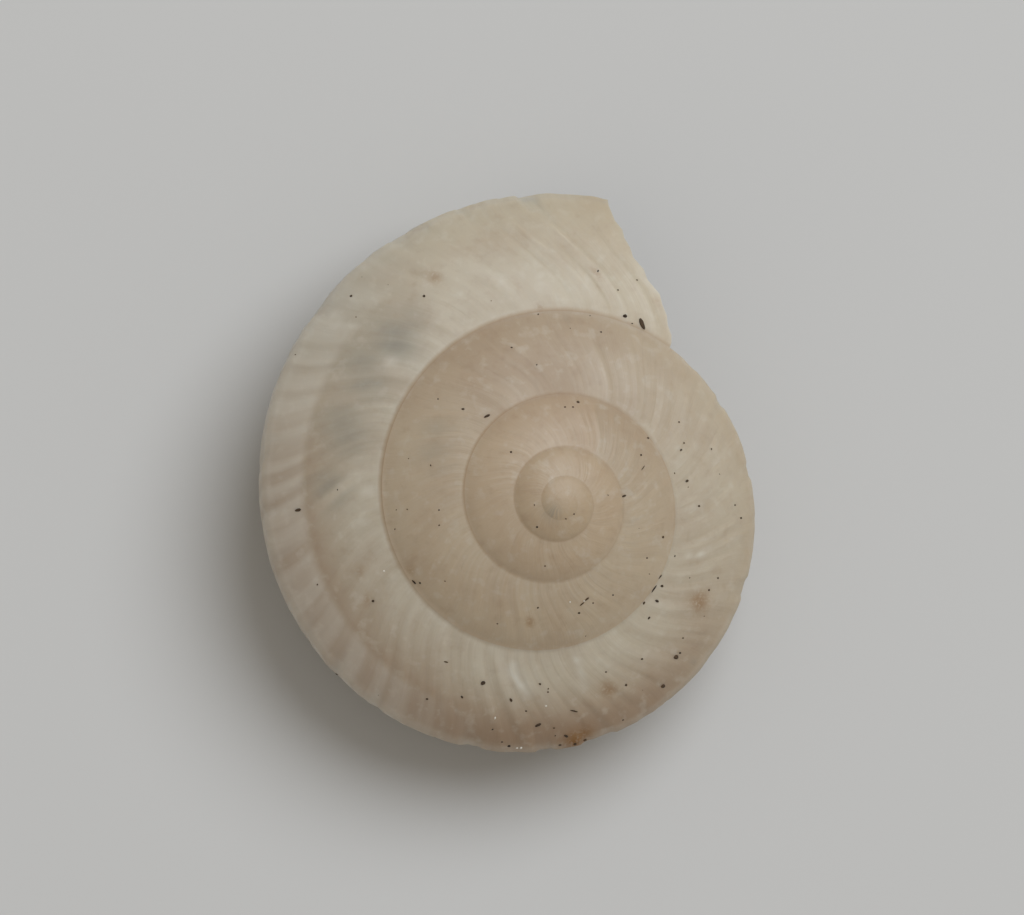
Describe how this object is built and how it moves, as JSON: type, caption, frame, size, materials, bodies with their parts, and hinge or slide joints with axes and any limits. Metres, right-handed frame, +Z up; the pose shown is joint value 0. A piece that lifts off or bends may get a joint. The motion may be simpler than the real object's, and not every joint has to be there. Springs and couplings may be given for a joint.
{
  "type": "land snail shell",
  "caption": "Empty low-spired land snail shell with a right-handed spiral of whorls, fine growth ridges, a thin broken lip, an open mouth and an open navel below.",
  "frame": {"origin": "on the floor below the middle of the shell's bounding box", "axes": "+Z up as the shell lies on its base, +Y towards the side on which the mouth opens, +X to the right seen from above"},
  "size_m": [0.0088, 0.0098, 0.0042],
  "materials": {
    "shell": "thin weathered shell lime with a faint waxy gloss, pale buff, stained and dusty"
  },
  "bodies": {
    "root": {"shell": "shell"}
  },
  "joints": []
}
